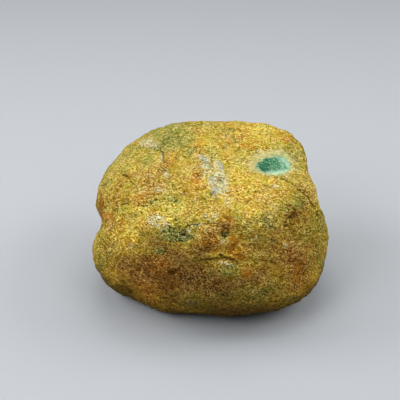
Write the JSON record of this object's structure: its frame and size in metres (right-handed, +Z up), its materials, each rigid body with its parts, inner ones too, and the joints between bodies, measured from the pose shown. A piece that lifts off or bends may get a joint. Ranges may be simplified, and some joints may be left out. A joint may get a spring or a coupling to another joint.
{
  "type": "raw jadeite pebble",
  "caption": "Rounded blocky pebble of raw jadeite with a weathered golden-brown skin and a small ground green window on top, lying on a flat spot.",
  "frame": {"origin": "on the surface the stone lies on, under the middle of its box", "axes": "+X towards the right end along the stone's length, +Y to the back, +Z up from the flat spot it lies on"},
  "size_m": [0.097, 0.0813, 0.0628],
  "materials": {
    "weathered_skin": "matt sugary weathered skin, golden ochre with olive, rust and pale flecks; satin teal-green where the window is ground"
  },
  "bodies": {
    "root": {"jadeite_pebble": "weathered_skin"}
  },
  "joints": []
}
